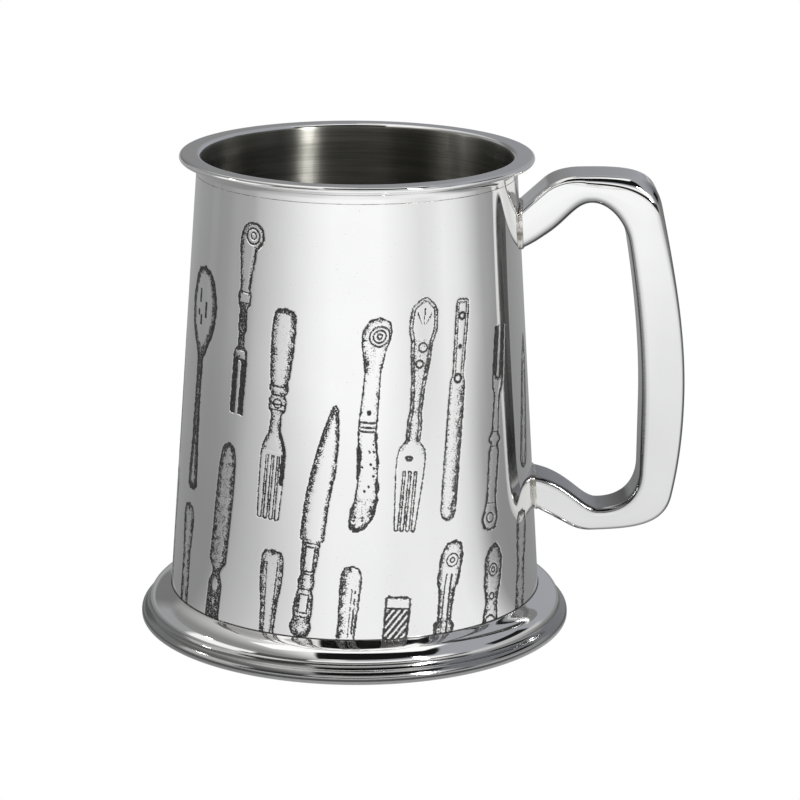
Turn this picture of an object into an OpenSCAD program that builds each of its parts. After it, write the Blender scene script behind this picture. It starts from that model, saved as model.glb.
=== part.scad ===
// Pewter tankard: an etched sheet rolled into a cone, closed by a soldered seam, with a spun rim,
// a hollow moulded foot, a bottom disc let in above the foot and a hollow cast D handle.
// Origin on the cup's axis at the plane it stands on, +Z up, handle towards +X.

/* [Cup] */
// Overall height, from the table to the top of the lip
height = 120; // [100:1:150]
// Outer radius of the wall where it meets the rim
wall_top_r = 39.8; // [34:0.1:44]
// Outer radius of the wall where it meets the foot
wall_foot_r = 47; // [42:0.1:52]
// Thickness of the pewter sheet
sheet_t = 1.2; // [0.8:0.1:1.8]
// Width of the soldered butt seam up the side
seam_w = 0.4; // [0.2:0.1:0.8]

/* [Rim] */
// How far the lip stands out past the wall
lip_out = 4.2; // [2.5:0.1:6]
// Height of the plain collar under the lip
collar_h = 1.2; // [0.8:0.1:3]
// Height of the whole rim ring
rim_h = 4.85; // [4:0.05:8]
// Radius of the rolled bead at the lip's edge
lip_bead_r = 0.8; // [0.6:0.05:1]

/* [Foot] */
// Height of the foot's shoulder, where the wall stands
foot_h = 9; // [7.5:0.1:14]
// How far the foot spreads past the wall
foot_out = 7.6; // [5:0.1:11]
// Height of the rolled edge of the foot
foot_edge_h = 3.6; // [3:0.1:4.5]
// Thickness of the spun foot
foot_t = 1.5; // [1.2:0.1:2]
// Radius of the bulge that rolls over into the foot's edge
foot_bulge_r = 2; // [1.4:0.1:2.4]
// Radius of the corner that stands on the table
foot_corner_r = 1.2; // [0.8:0.1:1.4]
// Height of the spigot that centres the wall on the foot
spigot_h = 1.9; // [1:0.1:4]

/* [Bottom] */
// Thickness of the bottom disc
disc_t = 1.3; // [0.8:0.1:2.5]
// Size of the solder fillet round the bottom disc
fillet = 1.2; // [0.6:0.1:2.5]

/* [Handle] */
// How far the handle stands out from the middle of the wall
handle_out = 39.7; // [32:0.1:52]
// How far the top of the handle lies below the lip
handle_drop = 4.4; // [3:0.1:14]
// Height of the underside of the handle
handle_low = 23.9; // [18:0.1:34]
// Width of the grip, seen from the side
grip_w = 10.7; // [7:0.1:13]
// Thickness of the upper arm
upper_arm_t = 6.8; // [5:0.1:9]
// Thickness of the lower arm
lower_arm_t = 5.9; // [5:0.1:8]
// Depth of the handle at its top, front to back
handle_depth_top = 15; // [11:0.1:18]
// Depth of the handle at its bottom, front to back
handle_depth_low = 12.6; // [10:0.1:17]
// Radius of the handle's rounded edges
handle_edge_r = 1.3; // [0.6:0.1:2]
// Wall of the hollow casting
handle_wall = 1.8; // [1.4:0.1:2.2]

/* [Joints] */
// Thickness of the solder line at the rim and at the foot
line_t = 0.2; // [0.1:0.05:0.5]
// Thickness of the solder pad under each end of the handle
pad_t = 1; // [0.6:0.1:2]
// How far each solder pad stands proud of the handle
pad_out = 0.3; // [0.1:0.05:0.6]
// Gap left round a piece that slips inside the wall
slip = 0.05; // [0.02:0.01:0.15]

/* [Hidden] */
$fn = 128;

pewter = [0.80, 0.80, 0.79];
satin_pewter = [0.62, 0.62, 0.60];
solder = [0.55, 0.54, 0.50];

// Where the wall starts and ends
wall_z0 = foot_h + line_t;
wall_z1 = height - rim_h;
// Levels of the bottom
disc_z0 = foot_h + spigot_h;
disc_z1 = disc_z0 + disc_t;
// Widest radii
lip_r = wall_top_r + lip_out;
foot_r = wall_foot_r + foot_out;
// How far the foot's thin edge of solder stands past the wall
foot_solder_out = 0.15;
// The highest point of the handle
handle_top = height - handle_drop;

// Outer radius of the cone at a height
function cone_r(z) = wall_foot_r + (wall_top_r - wall_foot_r) * (z - foot_h) / (wall_z1 - foot_h);
// Points along a round arc, from one angle to another
function arc(cx, cy, r, a0, a1, n = 10) =
  [for (i = [0:n]) [cx + r * cos(a0 + (a1 - a0) * i / n), cy + r * sin(a0 + (a1 - a0) * i / n)]];
// One point of a cubic curve with four control points
function cubic(p, t) =
  pow(1 - t, 3) * p[0] + 3 * pow(1 - t, 2) * t * p[1] + 3 * (1 - t) * t * t * p[2] + t * t * t * p[3];
// Points along such a curve
function curve(p, n = 12) = [for (i = [0:n]) cubic(p, i / n)];
// Points along a chain of such curves, without doubling the point that two of them share
function chain(pieces, n) = [
  for (k = [0:len(pieces) - 1])
    for (i = [(k == 0 ? 0 : 1):n])
      cubic(pieces[k], i / n)
];

// A ring of sheet that follows the cone between two heights
module cone_ring(z0, z1, out, inn) {
  rotate_extrude()
    polygon([
      [cone_r(z0) - inn, z0], [cone_r(z0) + out, z0],
      [cone_r(z1) + out, z1], [cone_r(z1) - inn, z1]
    ]);
}

// A solid that fills the cone between two heights
module cone_plug(z0, z1, out) {
  rotate_extrude()
    polygon([[0, z0], [cone_r(z0) + out, z0], [cone_r(z1) + out, z1], [0, z1]]);
}

// The slot that the rolled sheet leaves between its two edges
module seam_slot() {
  translate([wall_top_r / 2, -seam_w / 2, 0])
    cube([wall_foot_r, seam_w, height]);
}

module body_wall() {
  color(pewter)
    difference() {
      cone_ring(wall_z0, wall_z1, 0, sheet_t);
      seam_slot();
    }
}

module side_seam() {
  color(solder)
    intersection() {
      cone_ring(wall_z0, wall_z1, 0, sheet_t);
      seam_slot();
    }
}

// The rim's section: collar, cove, rolled bead, flat top and rounded mouth
module rim_ring() {
  inner_r = wall_top_r - sheet_t;
  collar_z0 = wall_z1 + line_t;
  bead_x = lip_r - lip_bead_r;
  bead_z = height - lip_bead_r;
  color(satin_pewter)
    rotate_extrude()
      polygon(concat(
        [[inner_r, collar_z0]],
        [[wall_top_r, collar_z0]],
        curve([
          [wall_top_r, collar_z0 + collar_h],
          [wall_top_r + 0.12 * lip_out, height - 0.5 * (rim_h - collar_h)],
          [wall_top_r + 0.4 * lip_out, height - 2.1 * lip_bead_r],
          [bead_x, height - 2 * lip_bead_r]
        ]),
        arc(bead_x, bead_z, lip_bead_r, -80, 90),
        arc(inner_r + sheet_t, height - sheet_t, sheet_t, 90, 180)
      ));
}

module rim_solder() {
  color(solder)
    rotate_extrude()
      translate([wall_top_r - sheet_t, wall_z1])
        square([sheet_t, line_t]);
}

// Outer outline of the foot, from its seat down to the table: a dome, a neck, a bulge and a corner
function foot_outline() =
  let (
    seat = [wall_foot_r + 0.25, foot_h],
    neck = [foot_r - 2.2, foot_edge_h + 1.6],
    bulge = arc(foot_r - foot_bulge_r, foot_edge_h - foot_bulge_r, foot_bulge_r, 70, 0)
  )
  concat(
    curve([
      seat,
      [wall_foot_r + 0.2 * foot_out, foot_h - 0.7],
      [wall_foot_r + 0.6 * foot_out, foot_h - 1.3],
      neck
    ]),
    curve([neck, neck + [0.15, -0.7], bulge[0] + [-0.7, 0.45], bulge[0]], 6),
    bulge,
    arc(foot_r - foot_corner_r, foot_corner_r, foot_corner_r, 0, -90)
  );

// The foot is a hollow spinning: its inside follows its outside, with a spigot inside the wall
module foot_ring() {
  in_r = wall_foot_r - sheet_t - foot_t;
  side_r = foot_r - foot_t - 0.9;
  roof_z = foot_h - foot_t;
  spigot_z = foot_h + spigot_h;
  color(pewter)
    rotate_extrude()
      polygon(concat(
        foot_outline(),
        [[foot_r - foot_corner_r - foot_t, 0]],
        curve([
          [side_r, foot_corner_r],
          [side_r, roof_z - foot_corner_r],
          [wall_foot_r, roof_z],
          [in_r, roof_z]
        ]),
        [
          [in_r, spigot_z],
          [cone_r(spigot_z) - sheet_t - slip, spigot_z],
          [cone_r(foot_h) - sheet_t - slip, foot_h]
        ]
      ));
}

module foot_solder() {
  color(solder)
    rotate_extrude()
      translate([wall_foot_r - sheet_t, foot_h])
        square([sheet_t + foot_solder_out, line_t]);
}

module bottom_disc() {
  color(satin_pewter)
    cone_plug(disc_z0, disc_z1, -sheet_t - slip);
}

module bottom_solder() {
  top_z = disc_z1 + fillet;
  corner_r = cone_r(disc_z1) - sheet_t;
  color(solder)
    rotate_extrude()
      polygon(concat(
        [[corner_r, disc_z1], [cone_r(top_z) - sheet_t, top_z]],
        arc(cone_r(top_z) - sheet_t - fillet, top_z, fillet, -10, -80, 6),
        [[corner_r - fillet, disc_z1]]
      ));
}

// The handle's side view. Its outer and inner outlines are two chains of eight curves each:
// root, rise, shoulder, grip, lower grip, heel, dip and root again. A point is placed by a share
// of the handle's stand-out from the wall and a share of its height, and a shift from there.
root_x = cone_r((handle_top + handle_low) / 2);
function out_x(f) = root_x + f * handle_out;
function up_z(g) = handle_low + g * (handle_top - handle_low);
function at(f, g, dx = 0, dz = 0) = [out_x(f) + dx, up_z(g) + dz];

outer_side = [
  [at(-0.11, 0.888), at(-0.04, 0.915), at(0.03, 0.943), at(0.1, 0.970)],
  [at(0.1, 0.970), at(0.155, 0.991), at(0.245, 1), at(0.34, 1)],
  [at(0.34, 1), at(0.69, 1.004), at(0.79, 0.988), at(0.825, 0.912)],
  [at(0.825, 0.912), at(0.93, 0.705), at(1, 0.546), at(1, 0.377)],
  [at(1, 0.377), at(1, 0.262), at(0.975, 0.175), at(0.94, 0.1)],
  [at(0.94, 0.1), at(0.9, 0.012), at(0.7, 0.004), at(0.42, 0)],
  [at(0.42, 0), at(0.366, 0), at(0.32, 0.006), at(0.265, 0.02)],
  [at(0.265, 0.02), at(0.165, 0.044), at(0.06, 0.068), at(-0.04, 0.09)]
];
grip_in = -grip_w;
inner_side = [
  [at(-0.11, 0.79), at(-0.04, 0.80), at(0.02, 0.812), at(0.09, 0.834)],
  [at(0.09, 0.834), at(0.23, 0.872), at(0.28, 1, 0, -upper_arm_t), at(0.385, 1, 0, -upper_arm_t)],
  [at(0.385, 1, 0, -upper_arm_t), at(0.49, 1, 0, -upper_arm_t),
   at(0.87, 0.874, grip_in), at(0.895, 0.808, grip_in)],
  [at(0.895, 0.808, grip_in), at(0.955, 0.66, grip_in), at(1, 0.5, grip_in), at(1, 0.35, grip_in)],
  [at(1, 0.35, grip_in), at(1, 0.285, grip_in), at(1, 0.23, grip_in), at(1, 0.175, grip_in)],
  [at(1, 0.175, grip_in), at(1, 0.105, grip_in), at(0.63, 0, 0, lower_arm_t), at(0.475, 0, 0, lower_arm_t)],
  [at(0.475, 0, 0, lower_arm_t), at(0.435, 0, 0, lower_arm_t), at(0.39, 0.078), at(0.345, 0.094)],
  [at(0.345, 0.094), at(0.245, 0.128), at(0.155, 0.158), at(-0.04, 0.162)]
];

side_steps = 8;
outer_line = chain(outer_side, side_steps);
inner_line = chain(inner_side, side_steps);
stations = len(outer_line);

// Half the handle's depth at a height
function half_depth(z) =
  (handle_depth_low + (handle_depth_top - handle_depth_low)
    * (z - handle_low) / (handle_top - handle_low)) / 2;

// A rounded rectangle as [across, sideways] pairs about its centre
function rounded(half_w, half_d, r, n = 4) = concat(
  arc(half_w - r, half_d - r, r, 0, 90, n),
  arc(-half_w + r, half_d - r, r, 90, 180, n),
  arc(-half_w + r, -half_d + r, r, 180, 270, n),
  arc(half_w - r, -half_d + r, r, 270, 360, n)
);

// One section of the handle, grown by some amount, between its inner and its outer outline
min_edge_r = 0.3;
function section(i, grow) =
  let (
    a = inner_line[i],
    b = outer_line[i],
    mid = (a + b) / 2,
    dir = (b - a) / norm(b - a),
    r = max(min_edge_r, handle_edge_r + min(grow, 0)),
    pts = rounded(norm(b - a) / 2 + grow, half_depth(mid[1]) + grow, r)
  )
  [for (p = pts) [mid[0] + dir[0] * p[0], p[1], mid[1] + dir[1] * p[0]]];

// The handle's solid between two stations, as a skin over its sections
module handle_solid(first, last, grow) {
  rings = [for (i = [first:last]) section(i, grow)];
  m = len(rings[0]);
  n = len(rings);
  polyhedron(
    points = [for (ring = rings) for (p = ring) p],
    faces = concat(
      [for (i = [0:n - 2]) for (j = [0:m - 1])
        [i * m + j, i * m + (j + 1) % m, (i + 1) * m + (j + 1) % m, (i + 1) * m + j]],
      [[for (j = [m - 1:-1:0]) j]],
      [[for (j = [0:m - 1]) (n - 1) * m + j]]
    )
  );
}

module handle() {
  color(pewter)
    difference() {
      handle_solid(0, stations - 1, 0);
      handle_solid(0, stations - 1, -handle_wall);
      cone_plug(0, height, pad_t);
    }
}

// A solder pad fills the gap between the wall and one end of the handle. Its skin runs from the
// root to a few stations past the wall.
pad_steps = side_steps + 2;
module solder_pad(first, last) {
  color(solder)
    intersection() {
      handle_solid(first, last, pad_out);
      difference() {
        cone_plug(0, height, pad_t);
        cone_plug(0, height, 0);
      }
    }
}

module handle_upper_solder() {
  solder_pad(0, pad_steps);
}

module handle_lower_solder() {
  solder_pad(stations - 1 - pad_steps, stations - 1);
}

body_wall();
side_seam();
rim_ring();
rim_solder();
foot_ring();
foot_solder();
bottom_disc();
bottom_solder();
handle();
handle_upper_solder();
handle_lower_solder();
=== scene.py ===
# %% [markdown]
# # A pewter tankard
# The real tankard is made from sheet, spinnings and one casting. A flat pewter sheet is etched with
# a pattern of table cutlery, rolled into a cone and closed by a soldered seam. A spun rim and a
# hollow spun foot are soldered to its ends, a disc closes the bottom, and a hollow cast handle is
# soldered over the seam. The same pieces are kept here. The measured model gives every place and
# size, and each visible piece is made again as a finer surface, because polished metal shows every
# facet of a coarse one.

# %% The measured model
import math

import bpy
import numpy as np
from mathutils import Matrix, Vector


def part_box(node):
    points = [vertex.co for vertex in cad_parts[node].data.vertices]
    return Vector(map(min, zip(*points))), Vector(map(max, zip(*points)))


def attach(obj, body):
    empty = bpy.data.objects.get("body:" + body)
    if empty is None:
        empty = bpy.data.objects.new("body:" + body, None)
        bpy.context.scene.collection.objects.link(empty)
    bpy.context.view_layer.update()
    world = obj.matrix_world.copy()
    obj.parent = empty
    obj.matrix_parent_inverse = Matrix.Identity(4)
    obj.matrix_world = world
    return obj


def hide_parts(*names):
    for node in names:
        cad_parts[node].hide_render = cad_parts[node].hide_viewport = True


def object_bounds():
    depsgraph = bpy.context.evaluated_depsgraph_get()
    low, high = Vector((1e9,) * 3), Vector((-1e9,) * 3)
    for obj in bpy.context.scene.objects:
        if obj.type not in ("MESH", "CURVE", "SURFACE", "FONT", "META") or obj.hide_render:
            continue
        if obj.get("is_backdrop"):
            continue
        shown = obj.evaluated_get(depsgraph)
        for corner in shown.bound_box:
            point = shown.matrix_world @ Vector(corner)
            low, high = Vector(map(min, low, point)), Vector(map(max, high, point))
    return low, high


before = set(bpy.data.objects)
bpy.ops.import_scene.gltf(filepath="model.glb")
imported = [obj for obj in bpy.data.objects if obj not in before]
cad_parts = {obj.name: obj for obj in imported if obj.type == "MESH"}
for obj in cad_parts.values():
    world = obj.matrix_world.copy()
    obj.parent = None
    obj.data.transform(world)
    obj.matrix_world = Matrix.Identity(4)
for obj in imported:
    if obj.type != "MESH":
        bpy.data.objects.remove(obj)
measured_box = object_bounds()
MM = 0.001
print("nodes:", ", ".join(sorted(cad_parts)))

# %% [markdown]
# ## Sizes taken from the measured model
# A maker would measure the parts with callipers. We ask the model for the box of each part and keep
# the few numbers that the finer surfaces need: where each ring starts and ends, and how wide it is.


# %% Heights and radii
def reach(node):
    """The largest X, the lowest Z and the highest Z of one part's box."""
    low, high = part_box(node)
    return high.x, low.z, high.z


WALL_FOOT_R, WALL_Z0, WALL_Z1 = reach("body_wall")
LIP_R, RIM_Z0, HEIGHT = reach("rim_ring")
FOOT_R, TABLE_Z, SPIGOT_Z = reach("foot_ring")
WALL_TOP_R, _, _ = reach("rim_solder")
FOOT_SOLDER_R, FOOT_H, _ = reach("foot_solder")
DISC_R, DISC_Z0, DISC_Z1 = reach("bottom_disc")
_, _, FILLET_Z1 = reach("bottom_solder")
HANDLE_REACH, HANDLE_LOW, HANDLE_TOP = reach("handle")
SEAM_HALF_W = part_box("side_seam")[1].y
HANDLE_HALF_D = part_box("handle")[1].y
SHEET_T = 1.2 * MM
SLIP = 0.05 * MM
FILLET = FILLET_Z1 - DISC_Z1
PAD_T = 1.0 * MM
WALL_SLOPE = (WALL_TOP_R - WALL_FOOT_R) / (WALL_Z1 - FOOT_H)


def wall_radius(z):
    """Outer radius of the wall: radius at the top + slope * height from the top, a straight line."""
    return WALL_TOP_R + WALL_SLOPE * (z - WALL_Z1)


print(f"height {HEIGHT / MM:.1f} mm, lip radius {LIP_R / MM:.1f} mm, foot radius {FOOT_R / MM:.1f} mm")

# %% [markdown]
# ## A small way to write materials
# A material in Blender is a net of nodes. Wired one by one, the idea is hard to see, so one small
# class wraps a socket and lets us write `0.2 + 0.5 * mask`, which adds the Math nodes. Every other
# node comes from one method that takes its type, its settings and its inputs.


# %% Values that write their own Math nodes
class Value:
    """One output socket of a node net, with arithmetic."""

    def __init__(self, net, socket):
        self.net = net
        self.socket = socket

    def math(self, operation, *others):
        """One Math node with this value as its first number."""
        return self.net.node("Math", {"operation": operation}, (self, *others)).out(0)

    def __add__(self, other):
        return self.math("ADD", other)

    def __sub__(self, other):
        return self.math("SUBTRACT", other)

    def __rsub__(self, other):
        return self.net.node("Math", {"operation": "SUBTRACT"}, (other, self)).out(0)

    def __mul__(self, other):
        return self.math("MULTIPLY", other)

    def __truediv__(self, other):
        return self.math("DIVIDE", other)

    __radd__ = __add__
    __rmul__ = __mul__

    def clamp(self):
        """The value held between nought and one."""
        return self.math("MAXIMUM", 0.0).math("MINIMUM", 1.0)


class Made:
    """A node that has just been made, asked for its outputs."""

    def __init__(self, net, node):
        self.net = net
        self.node = node

    def out(self, key):
        return Value(self.net, self.node.outputs[key])


class Net:
    """The node net of a material or of the surroundings."""

    def __init__(self, owner):
        owner.use_nodes = True
        self.owner = owner
        self.tree = owner.node_tree
        self.tree.nodes.clear()

    def node(self, kind, settings=None, inputs=()):
        """Adds a node: its settings come first, then its inputs by place or by name."""
        made = self.tree.nodes.new("ShaderNode" + kind)
        for name, value in (settings or {}).items():
            if name == "stops":
                self.set_stops(made.color_ramp, value)
            else:
                setattr(made, name, value)
        pairs = inputs.items() if isinstance(inputs, dict) else enumerate(inputs)
        for key, value in pairs:
            if isinstance(value, Value):
                self.tree.links.new(value.socket, made.inputs[key])
            else:
                made.inputs[key].default_value = value
        return Made(self, made)

    @staticmethod
    def set_stops(ramp, stops):
        """Fills a colour ramp from (position, grey) pairs."""
        ends = (ramp.elements[0], stops[0]), (ramp.elements[1], stops[-1])
        for element, (position, grey) in ends:
            element.position = position
            element.color = (grey, grey, grey, 1.0)
        for position, grey in stops[1:-1]:
            ramp.elements.new(position).color = (grey, grey, grey, 1.0)

    def mix(self, factor, first, second):
        """A colour between two colours, which may each be a colour or a socket."""
        ends = [c if isinstance(c, Value) else (*c, 1.0) for c in (first, second)]
        return self.node("Mix", {"data_type": "RGBA"}, {0: factor, 6: ends[0], 7: ends[1]}).out(2)

    def place(self, stretch=(1.0, 1.0, 1.0)):
        """Object coordinates in metres, stretched along each axis."""
        spot = self.node("TexCoord").out("Object")
        return self.node("Mapping", {}, {"Vector": spot, "Scale": stretch}).out(0)

    def noise(self, spot, scale, detail=2.0, roughness=0.5):
        """Cloudy numbers between nought and one, with features about 1 / scale metres wide."""
        inputs = {"Vector": spot, "Scale": scale, "Detail": detail, "Roughness": roughness}
        return self.node("TexNoise", {}, inputs).out(0)

    def bump(self, height, strength, distance):
        """A normal that leans as the height does, where a height of one stands for the distance."""
        inputs = {"Height": height, "Strength": strength, "Distance": distance}
        return self.node("Bump", {}, inputs).out(0)

    def attribute(self, name):
        """A number that the mesh keeps for each of its points."""
        return self.node("Attribute", {"attribute_name": name}).out("Fac")

    def surface(self, colour, roughness, metallic=1.0, normal=None):
        """One Principled surface, wired to the output."""
        inputs = {"Base Color": colour, "Roughness": roughness, "Metallic": metallic}
        if normal is not None:
            inputs["Normal"] = normal
        shader = self.node("BsdfPrincipled", {}, inputs).out(0)
        self.node("OutputMaterial", {}, {"Surface": shader})
        return self.owner


# %% [markdown]
# ## Surfaces as grids of points
# Every piece is a grid of points. One direction runs along a profile, the other round the axis or
# along the handle. The whole grid is worked out as one array and handed to Blender in one go, which
# stays quick at a hundred thousand points. A grid may close on itself either way, as a ring does.
# Every mesh gets the same texture space, centred on the axis, so that brushed metal knows which way
# is round.


# %% From a grid of points to a mesh
SHARP_ANGLE = math.radians(38)


def grid_faces(rows, cols, close_rows, close_cols):
    """Corner numbers of each four-sided face of a grid, as one array."""
    row = np.arange(rows if close_rows else rows - 1)[:, None]
    col = np.arange(cols if close_cols else cols - 1)[None, :]
    below, right = (row + 1) % rows, (col + 1) % cols
    corners = (row * cols + col, row * cols + right, below * cols + right, below * cols + col)
    return np.stack(np.broadcast_arrays(*corners), -1).reshape(-1, 4)


def make_mesh(name, points, quads, caps=()):
    """A mesh object from points, four-sided faces and a few many-sided caps."""
    loops = np.concatenate([quads.ravel(), *caps]).astype(np.int32)
    sizes = np.array([4] * len(quads) + [len(cap) for cap in caps], np.int32)
    mesh = bpy.data.meshes.new(name)
    mesh.vertices.add(len(points))
    mesh.vertices.foreach_set("co", np.ascontiguousarray(points, np.float32).ravel())
    mesh.loops.add(len(loops))
    mesh.loops.foreach_set("vertex_index", loops)
    mesh.polygons.add(len(sizes))
    mesh.polygons.foreach_set("loop_start", np.cumsum(sizes, dtype=np.int32) - sizes)
    mesh.polygons.foreach_set("use_smooth", np.ones(len(sizes), bool))
    mesh.update(calc_edges=True)
    mesh.set_sharp_from_angle(angle=SHARP_ANGLE)
    mesh.use_auto_texspace = False
    mesh.texspace_location = (0.0, 0.0, HEIGHT / 2)
    mesh.texspace_size = (FOOT_R, FOOT_R, HEIGHT / 2)
    made = bpy.data.objects.new(name, mesh)
    bpy.context.scene.collection.objects.link(made)
    return made


def paint_points(piece, key, values):
    """Keeps one number per point on the mesh, for its material to read."""
    layer = piece.data.attributes.new(key, "FLOAT", "POINT")
    layer.data.foreach_set("value", np.ascontiguousarray(values, np.float32).ravel())


def fit(piece, finish, slot, *nodes):
    """Gives a piece its finish, hangs it under the root and hides the measured parts that it stands for.
    The slot is not used.
    """
    piece.data.materials.append(finish)
    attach(piece, "root")
    if nodes:
        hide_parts(*nodes)
    print(f"{piece.name}: {len(piece.data.polygons)} faces")


# %% [markdown]
# ## Outlines for turned pieces
# A spinner presses metal over a turning block, so the rim and the foot are an outline carried round
# the axis. An outline here is a chain of straight steps, round arcs and steered curves, the same
# ones that drive the measured model, so the finer pieces lie exactly on it.


# %% Arcs, curves and turned pieces
TURNED_STEPS = 512


def arc(centre, radius, start, stop, steps=14):
    """Points on a round arc: centre + radius * (cos a, sin a), with a in degrees."""
    a = np.radians(np.linspace(start, stop, steps + 1))
    return np.stack([centre[0] + radius * np.cos(a), centre[1] + radius * np.sin(a)], -1)


def steered(points, steps=16):
    """A cubic curve: four points, each weighted by its Bernstein share of t."""
    t = np.linspace(0.0, 1.0, steps + 1)[:, None]
    a, b, c, d = (np.asarray(p, float) for p in points)
    return (1 - t) ** 3 * a + 3 * (1 - t) ** 2 * t * b + 3 * (1 - t) * t**2 * c + t**3 * d


def outline(*parts):
    """One outline from several stretches, with doubled points dropped."""
    line = np.concatenate([np.atleast_2d(np.asarray(p, float)) for p in parts])
    keep = np.linalg.norm(line - np.roll(line, 1, 0), axis=1) > 1e-8
    return line[keep]


def straight(start, stop, steps):
    """Even steps along a straight line."""
    return np.linspace(start, stop, steps + 1)


def turned(name, line, steps=TURNED_STEPS):
    """A surface of revolution: each (r, z) of a closed outline, run anticlockwise, goes round."""
    a = np.linspace(0.0, 2 * np.pi, steps, endpoint=False)[None, :]
    r, z = line[:, :1], np.broadcast_to(line[:, 1:], (len(line), steps))
    points = np.stack([r * np.cos(a), r * np.sin(a), z], -1).reshape(-1, 3)
    return make_mesh(name, points, grid_faces(len(line), steps, True, True)[:, ::-1])


# %% [markdown]
# ## Polished pewter
# Pewter is nearly all tin. Polished, it mirrors almost like silver, a shade softer, and the mop
# leaves marks so fine that they only blur the reflection here and there. Colour and roughness drift
# a little over the surface, and a faint wave in the metal bends straight reflections. Each piece
# marks painted shade with a number per point: there the colour is darkened and a little rougher,
# which paints darker reflections and shade into the metal.

# %% The polish on the foot, the handle and the rim
BRIGHT = (0.93, 0.926, 0.916)
WORN = (0.885, 0.88, 0.868)
PAINTED_SHADE_GREY = (0.075, 0.076, 0.077)


def polished_pewter():
    """Bright metal: colour and roughness drift with noise; painted shade darkens the colour and roughens
    it.
    """
    net = Net(bpy.data.materials.new("polished_pewter"))
    drift = net.noise(net.place(), 60.0, 3.0)
    mop = net.noise(net.place((1.0, 1.0, 12.0)), 700.0, 2.0)
    dull = net.attribute("dull")
    colour = net.mix((drift * 1.5 - 0.35).clamp(), WORN, BRIGHT)
    # painted shade: where the mark is high the colour goes to a near black grey, standing in for darker
    # reflections
    colour = net.mix((dull * (0.85 + 0.3 * mop)).clamp(), colour, PAINTED_SHADE_GREY)
    roughness = 0.03 + 0.07 * drift * mop + 0.12 * dull
    wave = net.bump(net.noise(net.place(), 95.0, 1.0), 0.05, 0.0006)
    return net.surface(colour, roughness, 1.0, wave)


POLISHED = polished_pewter()

# %% [markdown]
# ## Etched pewter
# The pattern was bitten into the flat sheet with acid and blackened, and the high ground was
# polished bright again. The mesh carries one number per point, how deep the bite is, so that the
# dark lines and the real grooves always lie together. A fine noise, the grit of the resist, decides
# where a half-deep bite shows, so half tones come out as stipple. The black is dull and less of a
# metal, so roughness and Metallic follow the bite too.

# %% The finish of the etched sheet
OXIDE = (0.018, 0.017, 0.017)


def etched_pewter():
    """Bright metal to oxide: black where 1.3 * bite is more than the grit at that spot."""
    net = Net(bpy.data.materials.new("etched_pewter"))
    grit = net.noise(net.place(), 2900.0, 2.0) * 2.4 - 0.7
    bite = ((net.attribute("bite") * 1.3 - grit - 0.02) * 2.6).clamp()
    drift = net.noise(net.place(), 50.0, 3.0)
    bright = net.mix((drift * 1.5 - 0.35).clamp(), WORN, BRIGHT)
    fleck = net.noise(net.place(), 2600.0, 1.0)
    black = net.mix((fleck * 2.0 - 0.9).clamp(), OXIDE, (0.10, 0.098, 0.094))
    mop = net.noise(net.place((1.0, 1.0, 14.0)), 650.0, 2.0)
    roughness = 0.028 + 0.05 * drift * mop + 0.45 * bite
    wave = net.bump(net.noise(net.place(), 70.0, 1.0), 0.035, 0.0006)
    return net.surface(net.mix(bite, bright, black), roughness, 1.0 - 0.75 * bite, wave)


ETCHED = etched_pewter()

# %% [markdown]
# ## Satin pewter and solder
# The inside is brushed while it turns in the lathe, so its marks are fine rings, and it has dulled
# to a darker, slightly olive grey. Rings come from noise that is squeezed hard along the axis.
# Marks that all run one way smear a reflection across themselves, so a lamp over the cup becomes an
# upright streak: Blender calls that Anisotropic, and the quarter turn lays the marks round the axis.
# Soft solder is duller still and a little mottled where the torch and the file have been.

# %% The finish of the inside, and the solder
BRUSHED_LOW = (0.10, 0.098, 0.085)
BRUSHED_HIGH = (0.40, 0.392, 0.352)
QUARTER_TURN = 0.25


def satin_pewter():
    """Rings of noise give the colour, the roughness and a faint relief; clouds vary them."""
    net = Net(bpy.data.materials.new("satin_pewter"))
    rings = net.noise(net.place((0.02, 0.02, 1.0)), 1500.0, 4.0, 0.75)
    broad = net.noise(net.place((0.3, 0.3, 1.0)), 130.0, 2.0)
    cloud = net.noise(net.place(), 55.0, 3.0)
    shade = (1.1 * rings + 0.25 * broad + 0.25 * cloud - 0.3).clamp()
    colour = net.mix(shade, BRUSHED_LOW, BRUSHED_HIGH)
    roughness = 0.25 + 0.1 * rings + 0.04 * cloud
    finish = net.surface(colour, roughness, 1.0, net.bump(rings, 0.4, 0.0001))
    brushed = finish.node_tree.nodes["Principled BSDF"]
    brushed.inputs["Anisotropic"].default_value = 1.0
    brushed.inputs["Anisotropic Rotation"].default_value = QUARTER_TURN
    return finish


def soft_solder(name, low, high):
    """A mottle of noise between two greys, rougher where it is lighter."""
    net = Net(bpy.data.materials.new(name))
    mottle = (net.noise(net.place(), 420.0, 4.0, 0.6) * 2.2 - 0.6).clamp()
    colour = net.mix(mottle, low, high)
    roughness = 0.14 + 0.3 * mottle
    return net.surface(colour, roughness, 1.0, net.bump(mottle, 0.25, 0.0001))


SATIN = satin_pewter()
SOLDER = soft_solder("soft_solder", (0.20, 0.185, 0.16), (0.80, 0.785, 0.75))
DARK_SOLDER = soft_solder("dark_solder", (0.03, 0.03, 0.03), (0.16, 0.155, 0.15))
print("finishes:", ", ".join(m.name for m in (POLISHED, ETCHED, SATIN, SOLDER, DARK_SOLDER)))

# %% [markdown]
# ## The rim
# A spun ring closes the top of the wall: a plain collar, a hollow sweep called a cove, a rolled bead
# and a flat top that rounds over into the mouth. It could be a Screw modifier on a curve. An outline
# of points is kept instead, so that the bead keeps its true radius. The mouth is brushed together
# with the inside of the cup, so its faces get the satin finish.

# %% Rim, from its collar up to the bead and over into the mouth
COLLAR_H = 1.2 * MM
BEAD_R = 0.8 * MM
LIP_OUT = LIP_R - WALL_TOP_R
MOUTH_R = WALL_TOP_R - SHEET_T
BRUSHED_WITHIN_R = MOUTH_R + 0.15 * SHEET_T

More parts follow.
